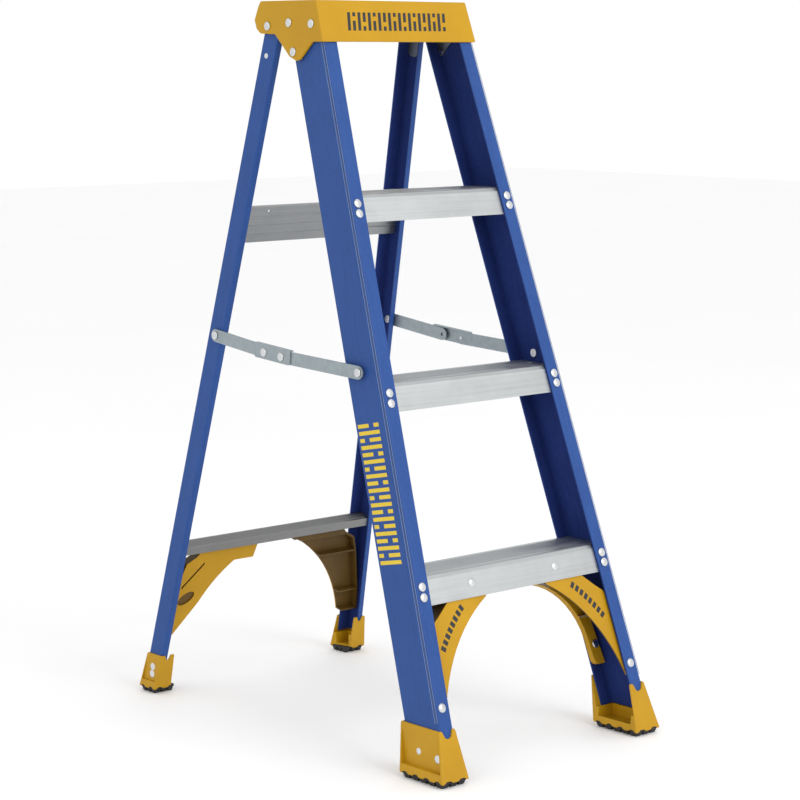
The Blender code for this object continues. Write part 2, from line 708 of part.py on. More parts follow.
def tread_pad(name, side, sole, lugs):
    """A rubber pad whose underside is cut both ways into lugs."""
    (inner, outer), (ahead, behind) = inset(sole, (SHOE_WALL + GAP,) * 4)
    low, high = sorted((side * inner, side * outer))
    block = box_mesh(name, (low, ahead, 0), (high, behind, SOLE_BOTTOM - GAP))
    part = new_part(name, block, MATERIALS["rubber"])
    past = PAD_OVERRUN
    across, along = lugs
    for label, loops, reach, axes in (
        ("_grooves_x", lug_grooves(low, high, across), (ahead - past, behind + past), "xzy"),
        ("_grooves_y", lug_grooves(ahead, behind, along), (low - past, high + past), "yzx"),
    ):
        cut(part, new_cutter(name + label, outline_mesh(name + label, loops, *reach, axes)))


# Braces


def brace_arc(arc_spec, inset, top, bottom, steps):
    """The arch's inner edge from its bottom to its top, moved this far off the material."""
    across, height, radius = arc_spec
    radius -= inset
    start, end = (math.degrees(math.asin((z - height) / radius)) for z in (bottom, top))
    return arc((across, height), radius, start, end, steps)


def clip(loop, low, high):
    """The part of an outline between two heights."""
    for limit, sign in ((low, 1), (high, -1)):
        kept = []
        for (x0, z0), (x1, z1) in zip(loop, loop[1:] + loop[:1]):
            inside, next_inside = sign * (z0 - limit) >= 0, sign * (z1 - limit) >= 0
            if inside:
                kept.append((x0, z0))
            if inside != next_inside:
                share = (limit - z0) / (z1 - z0)
                kept.append((x0 + (x1 - x0) * share, limit))
        loop = kept
    return [point for i, point in enumerate(loop) if math.dist(point, loop[i - 1]) > 1e-6]


def brace_cut(part, side, along, label, loop, span, frame):
    """Cuts an outline given across and in heights out of a brace."""
    mesh = outline_mesh(part.name + label, [[(side * x, along(z)) for x, z in loop]], *span, "xzy")
    cut(part, new_cutter(mesh.name, mesh, frame))


def brace_pockets(part, side, along, arc_spec, walls, heights, span, frame):
    """Cuts one pocket per pair of heights, open along the arch; walls is their far side."""
    top = min(walls[-1][1], arc_spec[1] + ARC_LIMIT * (arc_spec[2] - POCKET_OVERRUN))
    edge = brace_arc(arc_spec, POCKET_OVERRUN, top, walls[0][1], POCKET_ARC_STEPS)
    whole = [*walls, (edge[-1][0], walls[-1][1] + GAP), *edge[::-1]]
    for i, (low, high) in enumerate(heights):
        brace_cut(part, side, along, f"_pocket_{i}", clip(whole, low, high), span, frame)


def front_brace(name, side, frame):
    """A front plate and, set back from its edge, a rear one that ends in a rounded tab."""
    near, far = FRONT_BRACE_DEPTH
    bottom = FRONT_BRACE_BOTTOM

    def along(height):
        return front_along(height, near)

    web = front_web_x(front_y(bottom, far), bottom) - FRONT_WALL - 2 * GAP
    loop = [(web, bottom), *FRONT_BRACE_OUTER]
    loop += brace_arc(FRONT_ARC, 0, FRONT_BRACE_ARC_TOP, bottom, ARC_STEPS)[::-1]
    outline = [(side * x, along(z)) for x, z in loop]
    part = new_part(name, outline_mesh(name, [outline], near, far, "xzy"), MATERIALS["shoe"], frame)

    across, height, radius = TAB
    top = RIM_ARC[1] + RIM_ARC_LIMIT * RIM_ARC[2]
    opening = arc((across, height), radius, 270, 180, TAB_STEPS) + brace_arc(RIM_ARC, 0, top, height, ARC_STEPS)[1:]
    outside = BRACE_NOTCH[0] - POCKET_OVERRUN
    low = bottom - POCKET_OVERRUN
    beyond = FRONT_POCKET_WALLS[0][0]
    opening += [(outside, top), (outside, low), (beyond, low), (beyond, height - radius)]
    floor = near + BRACE_WALL + GAP
    brace_cut(part, side, along, "_opening", opening, (floor, far + BRACE_WALL), frame)
    span = (near + BRACE_WALL, far - FRONT_RIM)
    brace_pockets(part, side, along, FRONT_ARC, FRONT_POCKET_WALLS, FRONT_POCKETS, span, frame)


def rear_brace(name, label, side, frame):
    """A shallow ribbed tray: the left one is closed in front and the right one behind."""
    near, far = (depth - REAR_WEB_AHEAD for depth in REAR_BRACE_DEPTH)
    bottom = REAR_BRACE_BOTTOM

    def along(height):
        return rear_along(height, -REAR_WEB_AHEAD)

    web = rear_web_x(along(bottom)) - REAR_WALL - 2 * GAP
    ceiling = REAR_TREAD_HEIGHT - REAR_SHEET - 2 * GAP
    tip, tip_foot, tip_bottom = REAR_BRACE_TIP[label]
    leaves, point, point_height = REAR_BRACE_POINT
    end = [(point, point_height)] if side < 0 else []
    edge = brace_arc(REAR_ARC, 0, tip_bottom, leaves if end else bottom, ARC_STEPS)[::-1]
    loop = [(web, bottom), *REAR_BRACE_OUTER, (REAR_BRACE_OUTER[-1][0], ceiling), (tip, ceiling)]
    loop += [(tip_foot, tip_bottom), *edge, *end]
    outline = [(side * x, along(z)) for x, z in loop]
    part = new_part(name, outline_mesh(name, [outline], near, far, "xzy"), MATERIALS["shoe"], frame)

    span = (near + BRACE_WALL, far + BRACE_WALL) if side < 0 else (near - BRACE_WALL, far - BRACE_WALL)
    brace_pockets(part, side, along, REAR_ARC, REAR_POCKET_WALLS, REAR_POCKETS, span, frame)
    face = (near - BRACE_WALL, near + FACE_CUT) if side < 0 else (far - FACE_CUT, far + BRACE_WALL)
    (x0, z0), (x1, z1), half_width = GROOVE_LINE
    groove = [(x0, z0 + half_width), (x0, z0 - half_width), (x1, z1 - half_width), (x1, z1 + half_width)]
    brace_cut(part, side, along, "_groove", groove, face, frame)
    (x, z), (wide, tall), turn = DIMPLE
    turned = Matrix.Rotation(turn, 2)
    ring = [Vector((x, z)) + turned @ Vector((wide * a, tall * b)) for a, b in circle((0, 0), 1, DIMPLE_STEPS)]
    brace_cut(part, side, along, "_dimple", [tuple(point) for point in ring], face, frame)


# Rear horizontals


def rear_horizontal_upper(name, frame):
    """A tall ribbed face between the rear rails, with a short lip behind each long edge."""
    bottom, top = rear_along(REAR_FACE_BOTTOM), rear_along(REAR_FACE_TOP)
    near = REAR_FACE_DEPTH - REAR_WEB_AHEAD
    far = near + REAR_SHEET
    lip = far + REAR_FACE_LIP
    outline = [(near, bottom)]
    for i in range(1, REAR_FACE_RIDGES + 1):
        middle = bottom + (top - bottom) * i / (REAR_FACE_RIDGES + 1)
        outline += [(near, middle - RIDGE_HALF_WIDTH), (near - RIDGE_HEIGHT, middle)]
        outline.append((near, middle + RIDGE_HALF_WIDTH))
    outline += [(near, top), (lip, top), (lip, top - REAR_SHEET), (far, top - REAR_SHEET)]
    outline += [(far, bottom + REAR_SHEET), (lip, bottom + REAR_SHEET), (lip, bottom)]
    mesh = outline_mesh(name, [outline], -1, 1, "yzx")
    stretch_across(mesh, lambda y, z: rear_web_x(z) - REAR_WALL - GAP)
    part = new_part(name, mesh, MATERIALS["aluminium"], frame)
    across, below, radius = REAR_FACE_HOLE
    ring = circle((across, top - below), radius)
    hole = outline_mesh(name + "_hole", [ring], near - REAR_FACE_LIP, far + REAR_FACE_LIP, "xzy")
    cut(part, new_cutter(name + "_hole", hole, frame))


def rear_horizontal_lower(name, frame):
    """A narrow ribbed tread square to the rear rails, with a lip down its front."""
    top = rear_along(REAR_TREAD_HEIGHT, -REAR_WEB_AHEAD)
    near = REAR_WALL + GAP - REAR_WEB_AHEAD
    far = REAR_WEB_BEHIND - REAR_WALL - GAP
    outline = [(near, top - REAR_TREAD_LIP), (near, top)]
    for i in range(1, REAR_TREAD_RIDGES + 1):
        middle = near + (far - near) * i / (REAR_TREAD_RIDGES + 1)
        outline += [(middle - RIDGE_HALF_WIDTH, top), (middle, top + RIDGE_HEIGHT)]
        outline.append((middle + RIDGE_HALF_WIDTH, top))
    outline += [(far, top), (far, top - REAR_SHEET), (near + REAR_SHEET, top - REAR_SHEET)]
    outline += [(near + REAR_SHEET, top - REAR_TREAD_LIP)]
    mesh = outline_mesh(name, [outline], -1, 1, "yzx")
    stretch_across(mesh, lambda y, z: rear_web_x(z) - REAR_WALL - GAP)
    new_part(name, mesh, MATERIALS["aluminium"], frame)


# Spreaders


def layer_face(layer):
    """Inner face of a spreader layer, across from the middle: rear bar, front bar, lock plate."""
    return SPREADER_X + layer * (BAR_THICKNESS + GAP)


def spreader_bar(name, side, start, end, layer, rivets):
    """A flat bar with a round eye at each end. Its origin is its pivot on the rail."""
    span = Vector(end) - Vector(start)
    half = BAR_WIDTH / 2
    outline = arc((0, 0), half, 90, 270, 6) + arc((span.length, 0), half, -90, 90, 6)
    low, high = sorted((side * layer_face(layer), side * (layer_face(layer) + BAR_THICKNESS)))
    mesh = outline_mesh(name, [outline], low, high, "yzx")
    part = new_part(name, mesh, MATERIALS["spreader"], None, (0, *start), (math.atan2(span.y, span.x), 0, 0))
    drill(part, rivets, clearance=BAR_CLEARANCE)


def lock_plate(name, side, rivets):
    """A plate over the ends of both bars. Its upper edge is bent in and stops them past straight."""
    start, end = Vector(FRONT_KNUCKLE), Vector(REAR_KNUCKLE)
    span = end - start
    past_straight = max(span.angle(start - Vector(FRONT_PIVOT)), span.angle(Vector(REAR_PIVOT) - end))
    bottom = -BAR_WIDTH / 2
    stop = GAP + LOCK_PLATE_OVERHANG * math.sin(past_straight) - bottom / math.cos(past_straight)
    first, last = -LOCK_PLATE_OVERHANG, span.length + LOCK_PLATE_OVERHANG
    radius = LOCK_PLATE_CORNER
    outline = arc((first + radius, bottom + radius), radius, 180, 270, 3)
    outline += arc((last - radius, bottom + radius), radius, 270, 360, 3)
    outline += [(last, stop + LOCK_PLATE_WALL), (first, stop + LOCK_PLATE_WALL)]
    inner = layer_face(2)
    low, high = sorted((side * SPREADER_X, side * (inner + LOCK_PLATE_WALL)))
    mesh = outline_mesh(name, [outline], low, high, "yzx")
    part = new_part(name, mesh, MATERIALS["spreader"], None, (0, *start), (math.atan2(span.y, span.x), 0, 0))
    margin = 0.01
    ends = sorted((side * (SPREADER_X - margin), side * inner))
    room = box_mesh(name + "_room", (ends[0], first - margin, bottom - margin), (ends[1], last + margin, stop))
    cut(part, new_cutter(name + "_room", room, None, part.location, part.rotation_euler))
    drill(part, rivets)


def spreader(label, side):
    """Rivets, bars and lock plate of one side; returns the rivets that hold it to the two rails."""
    turn = (0, side * QUARTER_TURN, 0)
    plate_face = layer_face(2) + LOCK_PLATE_WALL

    def pivot(name, place, layer, web, wall):
        face = layer_face(layer) + BAR_THICKNESS
        collar = (BAR_THICKNESS + GAP, face - web - TILTED_SEAT, SPACER)
        return rivet(name, None, (side * face, *place), turn, face - web + wall, TILTED_SEAT, collar, tail=NUT)

    front = pivot(f"spreader_front_pivot_{label}", FRONT_PIVOT, 1, front_web_x(*FRONT_PIVOT), FRONT_WALL)
    rear = pivot(f"spreader_rear_pivot_{label}", REAR_PIVOT, 0, rear_web_x(rear_up(*REAR_PIVOT)), REAR_WALL)
    held = rivet(
        f"lock_plate_front_rivet_{label}", None, (side * plate_face, *FRONT_KNUCKLE), turn,
        plate_face - layer_face(1), GAP, tail=None,
    )
    depth = plate_face - layer_face(1)
    free = rivet(
        f"lock_plate_rear_rivet_{label}", None, (side * plate_face, *REAR_KNUCKLE), turn, depth, GAP,
        (LOCK_PLATE_WALL + GAP, depth, SPACER), tail=None,
    )
    spreader_bar(f"spreader_front_bar_{label}", side, FRONT_PIVOT, FRONT_KNUCKLE, 1, [front, held])
    spreader_bar(f"spreader_rear_bar_{label}", side, REAR_PIVOT, REAR_KNUCKLE, 0, [rear, free])
    lock_plate(f"spreader_lock_plate_{label}", side, [held, free])
    return front, rear


# Assembly


def front_side(label, side, front_frame):
    """Rail, cap bracket, shoe, pad and brace of one side; returns the rivets by what they hold."""
    frame = new_empty(
        f"front_rail_frame_{label}", (side * FRONT_HALF_WIDTH, 0, 0), (0, -side * FRONT_FLARE, 0), front_frame
    )
    out = (0, side * QUARTER_TURN, 0)
    cap_rivets = []
    for key, (y, z) in CAP_RIVETS.items():
        seat = (cap_x(z) - front_web_x(y, z)) * math.cos(FRONT_FLARE)
        depth, along = front_local(y, z)
        place = (side * seat, depth, along / math.cos(FRONT_FLARE))
        grip = seat + FRONT_WALL + GAP + PLATE
        cap_rivets.append(rivet(f"cap_rivet_{key}_{label}", frame, place, out, grip))
    step_rivets = {}
    for tread, height in TREADS.items():
        for key, below in (("upper", UPPER_RIVET_BELOW_TREAD), ("lower", LOWER_RIVET_BELOW_TREAD)):
            place = (-side * FLANGE_RIVET_INSET, 0, front_along(height - below) / math.cos(FRONT_FLARE))
            grip = FRONT_WALL + GAP + STEP_WALL
            name = f"{tread}_step_rivet_{key}_{label}"
            step_rivets.setdefault(tread, []).append(rivet(name, frame, place, (QUARTER_TURN, 0, 0), grip))
    front_shoe(f"front_shoe_{label}", side)
    tread_pad(f"front_shoe_tread_{label}", side, FRONT_SOLE, FRONT_LUGS)
    front_brace(f"front_brace_{label}", side, front_frame)
    cap_bracket(f"cap_bracket_{label}", side, frame, cap_rivets)
    return frame, cap_rivets, step_rivets


def rear_side(label, side, rear_frame, hinge_rivet, pivot_rivet):
    """Rail, hinge plate, shoe, pad and brace of one side."""
    frame = new_empty(
        f"rear_rail_frame_{label}", (side * REAR_HALF_AT_HINGE, 0, 0), (0, -side * REAR_FLARE, 0), rear_frame
    )
    rear_rail(f"rear_rail_{label}", side, frame, [hinge_rivet, pivot_rivet])
    rear_hinge_plate(f"rear_hinge_plate_{label}", side, frame, [hinge_rivet])
    rear_shoe(f"rear_shoe_{label}", side)
    tread_pad(f"rear_shoe_tread_{label}", side, REAR_SOLE, REAR_LUGS)
    rear_brace(f"rear_brace_{label}", label, side, rear_frame)


def build():
    front_frame = new_empty("front_frame", (0, FRONT_FOOT_Y, 0), (-FRONT_LEAN, 0, 0))
    rear_frame = new_empty("rear_frame", (0, HINGE_Y, HINGE_Z), (REAR_LEAN, 0, 0))
    cap_holders = []
    step_holders = {}
    for label, side in SIDES.items():
        frame, cap_rivets, step_rivets = front_side(label, side, front_frame)
        front_pivot, rear_pivot = spreader(label, side)
        face = cap_x(HINGE_Z)
        grip = face - REAR_HALF_AT_HINGE + REAR_WALL + GAP + PLATE
        place = (side * face, HINGE_Y, HINGE_Z)
        turn = (0, side * QUARTER_TURN, 0)
        hinge = rivet(f"rear_hinge_rivet_{label}", None, place, turn, grip, TILTED_SEAT)
        flange_rivets = [holder for group in step_rivets.values() for holder in group]
        front_rail(f"front_rail_{label}", side, frame, cap_rivets + flange_rivets + [front_pivot])
        rear_side(label, side, rear_frame, hinge, rear_pivot)
        cap_holders += [*cap_rivets, hinge]
        for tread, group in step_rivets.items():
            step_holders.setdefault(tread, []).extend(group)
    top_cap("top_cap", cap_holders)
    for tread, height in TREADS.items():
        step(f"step_{tread}", height, step_holders[tread])
    notch_returns(bpy.data.objects["step_bottom"])
    rear_horizontal_upper("rear_horizontal_upper", rear_frame)
    rear_horizontal_lower("rear_horizontal_lower", rear_frame)


clear_scene()
PARTS = new_collection("step_ladder")
CUTTERS = new_collection("cutters")
MATERIALS = {
    "rail": new_material("blue_fibreglass", (0.045, 0.105, 0.32), 0, 0.42),
    "cap": new_material("yellow_cap_plastic", (0.67, 0.36, 0.018), 0, 0.38),
    "shoe": new_material("yellow_foot_plastic", (0.62, 0.33, 0.02), 0, 0.42),
    "aluminium": new_material("mill_aluminium", (0.72, 0.74, 0.75), 1, 0.38),
    "spreader": new_material("galvanised_steel", (0.48, 0.53, 0.56), 1, 0.42),
    "steel": new_material("plated_steel", (0.62, 0.63, 0.62), 1, 0.35),
    "rivet": new_material("bright_rivet", (0.78, 0.80, 0.82), 1, 0.25),
    "rubber": new_material("black_rubber", (0.015, 0.015, 0.016), 0, 0.75),
}
build()
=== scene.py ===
"""The looks of a fibreglass step ladder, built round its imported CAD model. Metres, +Z up."""

import math

import bmesh
import bpy
from mathutils import Matrix, Vector


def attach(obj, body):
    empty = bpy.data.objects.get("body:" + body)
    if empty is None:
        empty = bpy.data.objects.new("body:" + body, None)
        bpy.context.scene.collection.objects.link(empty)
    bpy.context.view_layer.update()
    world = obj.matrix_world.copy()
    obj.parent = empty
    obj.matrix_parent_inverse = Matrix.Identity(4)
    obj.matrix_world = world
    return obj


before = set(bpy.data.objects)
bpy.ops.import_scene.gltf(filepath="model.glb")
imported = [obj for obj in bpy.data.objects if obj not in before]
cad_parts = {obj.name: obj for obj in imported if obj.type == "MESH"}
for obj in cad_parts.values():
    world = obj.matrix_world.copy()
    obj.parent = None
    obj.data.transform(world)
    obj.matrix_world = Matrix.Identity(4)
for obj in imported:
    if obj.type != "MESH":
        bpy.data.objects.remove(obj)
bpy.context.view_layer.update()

SIDES = {"left": -1, "right": 1}
QUARTER_TURN = math.pi / 2

# The two sections' frames, as in the CAD model
FRONT_FOOT_Y = -0.3946
FRONT_LEAN = math.radians(18.35)
FRONT_HALF_WIDTH = 0.22988
FRONT_FLARE = math.radians(3.37)
HINGE = (0.1145, 1.146)
REAR_LEAN = math.radians(13.06)
REAR_HALF_AT_HINGE = 0.15906
REAR_FLARE = math.radians(3.64)
REAR_WEB_AHEAD = 0.0252
REAR_WEB_BEHIND = 0.0118
FRONT_WEB = 0.0791
RAIL_WALL = 0.0033
FAR_AWAY = 1.0
FACING = Matrix.Rotation(QUARTER_TURN, 4, "X")  # turns what stands out upward to stand out forward

# Extra rivets: radius and height of the domed head, and of the rim under it
RIVET_HEAD = (0.00725, 0.0024)
SMALL_RIVET_HEAD = (0.0045, 0.0017)
RIVET_RIM = 0.0004
RIVET_STEPS = 28
DOME_STEPS = 8

# Where the extra rivets stand: as (y, z) on webs, and across and up elsewhere
SHOE_PROUD = 0.0026  # from a rail's web to the outer face of its shoe
FRONT_SHOE_RIVETS = ((-0.326, 0.045), (-0.369, 0.041))
REAR_SHOE_RIVETS = ((0.361, 0.046), (0.3625, 0.033))
LOWER_FLANGE_RIVET = (0.0133, 0.1157)  # from the web, above the floor
REAR_TOP_RIVET = (0.1204, 1.1025)
APRON_RIVET = (0.092, 0.283)
BRACE_RIVET = (0.2025, 0.135)
BRACE_TAB = 0.063  # depth of the face of a front brace's rear tab

# Prints and painted highlight and shade strips: places in the sections' frames; strokes are given as
# pitch, width and slant
PLATE_THICKNESS = 0.00012
PLATE_SUNK = 0.00008
BREAK = 0.12  # half of a broken stroke's gap, as a share of its length
BREAK_PLACES = (0.16, -0.14)  # from the middle, as shares of its length
CAP_PRINT_DEPTH = -0.0043
CAP_PRINT_ACROSS = (-0.108, 0.108)
CAP_PRINT_ALONG = (1.137 / math.cos(FRONT_LEAN), 1.166 / math.cos(FRONT_LEAN))
CAP_STROKES = (0.0108, 0.006, 0.18)
RAIL_PRINT_ALONG = (0.350, 0.578)
RAIL_PRINT_DEPTHS = (0.022, 0.072)
RAIL_STROKES = (0.0114, 0.0062, 0.12)
# painted highlight and shade on each front rail's outer web beside its front corner, as two distances
# across the web: the two light strips stand for the highlights on a bead and on the rounded corner, the
# dark strip between them for the shade in the groove; the span runs along the rail
PAINTED_RAIL_LIGHT = {
    "painted_bead_highlight": (0.0062, 0.0072), "painted_corner_highlight": (0.0003, 0.0013), "painted_groove_shade": (0.0024, 0.0054),
}
PAINTED_RAIL_LIGHT_SPAN = (0.100, 1.190)
BRACE_FACE = 0.0061
BRACE_MARK = (-0.054, 0.024, 0.288)  # the arc's centre across and up, and its radius
BRACE_MARK_ANGLES = (37, 52)
BRACE_MARKS = 8
BRACE_MARK_SIZE = (0.0034, 0.0050)

FRONT_FRAME = Matrix.Translation((0, FRONT_FOOT_Y, 0)) @ Matrix.Rotation(-FRONT_LEAN, 4, "X")
REAR_FRAME = Matrix.Translation((0, *HINGE)) @ Matrix.Rotation(REAR_LEAN, 4, "X")


def front_rail_frame(side):
    foot = Matrix.Translation((side * FRONT_HALF_WIDTH, 0, 0))
    return FRONT_FRAME @ foot @ Matrix.Rotation(-side * FRONT_FLARE, 4, "Y")


def rear_rail_frame(side):
    head = Matrix.Translation((side * REAR_HALF_AT_HINGE, 0, 0))
    return REAR_FRAME @ head @ Matrix.Rotation(-side * REAR_FLARE, 4, "Y")


# Materials


class Nodes:
    """A material's node tree, with each step as a short call."""

    def __init__(self, name):
        self.material = bpy.data.materials.new(name)
        self.material.use_nodes = True
        self.tree = self.material.node_tree
        self.shader = self.tree.nodes["Principled BSDF"]

    def add(self, kind, inputs=None, **settings):
        node = self.tree.nodes.new(kind)
        for key, value in settings.items():
            setattr(node, key, value)
        for key, value in (inputs or {}).items():
            if isinstance(value, bpy.types.NodeSocket):
                self.tree.links.new(value, node.inputs[key])
            else:
                node.inputs[key].default_value = value
        return node

    def between(self, value, low, high, soft=0.0003):
        """1 where the value lies between low and high, with soft edges."""
        rise = self.remap(value, low - soft, low + soft)
        fall = self.remap(value, high - soft, high + soft, 1.0, 0.0)
        return self.math("MULTIPLY", rise, fall)

    def within(self, matrix, depth_span, inward_span=None, side=-1):
        """1 inside the given span of depth and, if given, of distance inward in a rail's frame."""
        inverse = matrix.inverted()
        place = self.add("ShaderNodeTexCoord").outputs["Object"]
        local = self.add("ShaderNodeMapping", {
            "Vector": place, "Location": inverse.to_translation(), "Rotation": inverse.to_euler(),
        }).outputs[0]
        parts = self.add("ShaderNodeSeparateXYZ", {0: local}).outputs
        mask = self.between(parts["Y"], *depth_span)
        if inward_span is None:
            return mask
        inward = self.math("MULTIPLY", parts["X"], -side)
        return self.math("MULTIPLY", mask, self.between(inward, *inward_span))

    def coords(self, scale=(1, 1, 1), rotation=(0, 0, 0)):
        place = self.add("ShaderNodeTexCoord").outputs["Object"]
        turned = self.add("ShaderNodeMapping", {"Vector": place, "Rotation": rotation}).outputs[0]
        return self.add("ShaderNodeMapping", {"Vector": turned, "Scale": scale}).outputs[0]

    def noise(self, vector, scale, detail=3, roughness=0.5, distortion=0.0):
        return self.add("ShaderNodeTexNoise", {
            "Vector": vector, "Scale": scale, "Detail": detail, "Roughness": roughness,
            "Distortion": distortion,
        }).outputs["Fac"]

    def remap(self, value, low, high, to_low=0.0, to_high=1.0):
        return self.add("ShaderNodeMapRange", {
            "Value": value, "From Min": low, "From Max": high, "To Min": to_low, "To Max": to_high,
        }).outputs["Result"]

    def math(self, operation, a, b=0.0):
        return self.add("ShaderNodeMath", {0: a, 1: b}, operation=operation).outputs[0]

    def colour(self, factor, a, b):
        node = self.add("ShaderNodeMix", data_type="RGBA")
        self.tree.links.new(factor, node.inputs[0])
        for index, value in ((6, a), (7, b)):
            if isinstance(value, bpy.types.NodeSocket):
                self.tree.links.new(value, node.inputs[index])
            else:
                node.inputs[index].default_value = (*value, 1)
        return node.outputs[2]

    def bump(self, height, strength, distance):
        inputs = {"Height": height, "Strength": strength, "Distance": distance}
        return self.add("ShaderNodeBump", inputs).outputs[0]

    def blend(self, shares, values):
        """The values added up, each multiplied by its share."""
        scaled = [self.math("MULTIPLY", value, share) for share, value in zip(shares, values)]
        total = scaled[0]
        for value in scaled[1:]:
            total = self.math("ADD", total, value)
        return total

    def set(self, **inputs):
        for key, value in inputs.items():
            socket = self.shader.inputs[key.replace("_", " ")]
            if isinstance(value, bpy.types.NodeSocket):
                self.tree.links.new(value, socket)
            else:
                socket.default_value = value
        return self.material


FIBRE_SCALE = (260, 260, 5)
VEIL_SCALE = 190
FIBRE_CLOUD_SCALE = 14
FIBRE_SHARES = (0.35, 0.4, 0.25)  # strands, veil, clouds
FIBRE_TONES = (0.36, 0.62)
FIBRE_ROUGHNESS = (0.35, 0.65, 0.42, 0.56)
LINING_ROUGHER = 0.3
FIBRE_GLOSS = (0.22, 0.12)  # outside and inside
FIBRE_BUMP = (0.35, 0.0004)

PLASTIC_CLOUD_SCALE = 9
PLASTIC_GRAIN_SCALE = 900
SCUFF_SCALE = 120
SCUFF_STRETCH = (1, 1, 0.25)
SCUFF_TURN = (0.3, 0.5, 0.2)
SCUFF_HEIGHT = 0.4
PLASTIC_TONES = (0.35, 0.68)
PLASTIC_GLOSS = 0.25
PLASTIC_BUMP = 0.0003

METAL_CLOUD_SCALE = 22
METAL_SHARES = (0.6, 0.4)  # lines, clouds
METAL_TONES = (0.36, 0.64)
METAL_BUMP = 0.0002

CRYSTAL_SCALE = 170.0
ZINC_CLOUD_SCALE = 40
ZINC_SHARES = (0.35, 0.65)  # crystals, clouds
ZINC_GREYS = ((0.27, 0.32, 0.345), (0.38, 0.43, 0.45))

RUBBER_GRAIN_SCALE = 700
DUST_SCALE = 60
RUBBER_TONES = ((0.012, 0.012, 0.013), (0.05, 0.048, 0.045))
WEAR_SCALE = 300


def fibreglass(name, lean, light, dark, painted_shade, matrix, side, depths):
    """Pultruded fibreglass: strands along the rail under a thin veil, duller inside the channel, where
    a darker tone is painted shade.
    """
    n = Nodes(name)
    shaded_hollow = n.within(matrix, depths, (RAIL_WALL / 2, FAR_AWAY), side)
    strands = n.noise(n.coords(FIBRE_SCALE, (lean, 0, 0)), 1, 3, 0.6)
    veil = n.noise(n.coords(), VEIL_SCALE, 4, 0.65, 0.6)
    cloud = n.noise(n.coords(), FIBRE_CLOUD_SCALE, 3, 0.55)
    blend = n.blend(FIBRE_SHARES, (strands, veil, cloud))
    tone = n.remap(blend, *FIBRE_TONES)
    # painted shade: inside the channel the strands take the darker navy tones
    colour = n.colour(shaded_hollow, n.colour(tone, dark, light), n.colour(tone, *painted_shade))
    rougher = n.math("MULTIPLY", shaded_hollow, LINING_ROUGHER)
    return n.set(
        Base_Color=colour,
        Roughness=n.math("ADD", n.remap(blend, *FIBRE_ROUGHNESS), rougher),
        Specular_IOR_Level=n.remap(shaded_hollow, 0, 1, *FIBRE_GLOSS),
        Normal=n.bump(blend, *FIBRE_BUMP),
    )


def plastic(name, light, dark, roughness, grain, painted_shade=None):
    """Moulded plastic with a fine grain; the optional darker tone is painted shade for a brace's
    pocket, given with where it lies.
    """
    n = Nodes(name)
    cloud = n.noise(n.coords(), PLASTIC_CLOUD_SCALE, 4, 0.6)
    fine = n.noise(n.coords(), PLASTIC_GRAIN_SCALE, 2, 0.5)
    scuffs = n.noise(n.coords(SCUFF_STRETCH, SCUFF_TURN), SCUFF_SCALE, 4, 0.7, 0.5)
    blotches = n.remap(cloud, *PLASTIC_TONES)
    colour = n.colour(blotches, dark, light)
    if painted_shade:
        tone, where = painted_shade
        # painted shade: the pocket takes the darker olive tone
        colour = n.colour(n.within(*where), colour, n.colour(blotches, *tone))
    height = n.math("ADD", fine, n.math("MULTIPLY", scuffs, SCUFF_HEIGHT))
    return n.set(
        Base_Color=colour,
        Roughness=n.remap(scuffs, 0.3, 0.75, roughness - 0.06, roughness + 0.09),
        Specular_IOR_Level=PLASTIC_GLOSS,
        Normal=n.bump(height, grain, PLASTIC_BUMP),
    )


def brushed(name, light, dark, roughness, scale, bump=0.2):
    """Metal with fine lines along the direction in which scale is lowest."""
    n = Nodes(name)
    lines = n.noise(n.coords(scale), 1, 3, 0.6)
    cloud = n.noise(n.coords(), METAL_CLOUD_SCALE, 3, 0.6)
    blend = n.blend(METAL_SHARES, (lines, cloud))
    return n.set(
        Base_Color=n.colour(n.remap(blend, *METAL_TONES), dark, light),
        Metallic=1.0,
        Roughness=n.remap(blend, 0.35, 0.65, roughness - 0.07, roughness + 0.09),
        Normal=n.bump(lines, bump, METAL_BUMP),
    )


def galvanised(name):
    """Zinc-coated strip: faint crystals of slightly different greys."""
    n = Nodes(name)
    cells = n.add("ShaderNodeTexVoronoi", {"Vector": n.coords(), "Scale": CRYSTAL_SCALE})
    grey = n.add("ShaderNodeRGBToBW", {0: cells.outputs["Color"]}).outputs[0]
    cloud = n.noise(n.coords(), ZINC_CLOUD_SCALE, 4, 0.65)
    blend = n.blend(ZINC_SHARES, (grey, cloud))
    return n.set(
        Base_Color=n.colour(n.remap(blend, 0.25, 0.75), *ZINC_GREYS),
        Metallic=0.75,
        Roughness=n.remap(blend, 0.3, 0.7, 0.42, 0.58),
        Normal=n.bump(cloud, 0.15, 0.0003),
    )


def rubber(name):
    """Dusty black rubber."""
    n = Nodes(name)
    fine = n.noise(n.coords(), RUBBER_GRAIN_SCALE, 3, 0.6)
    dust = n.noise(n.coords(), DUST_SCALE, 4, 0.7)
    return n.set(
        Base_Color=n.colour(n.remap(dust, 0.45, 0.8), *RUBBER_TONES),
        Roughness=n.remap(dust, 0.3, 0.8, 0.62, 0.85),
        Normal=n.bump(fine, 0.4, 0.0003),
    )


def flat_tone(name, light, dark, roughness):
    """Slightly worn print; also the flat tone of the painted highlight and shade strips."""
    n = Nodes(name)
    wear = n.noise(n.coords(), WEAR_SCALE, 4, 0.7)
    return n.set(
        Base_Color=n.colour(n.remap(wear, 0.4, 0.75), dark, light),
        Roughness=n.remap(wear, 0.3, 0.8, roughness - 0.05, roughness + 0.1),
    )


# Colours, as pairs of tones, and where the painted shade inside the rails' channels and the braces'
# pockets lies in the sections' frames
BLUE = ((0.026, 0.082, 0.290), (0.016, 0.059, 0.228))
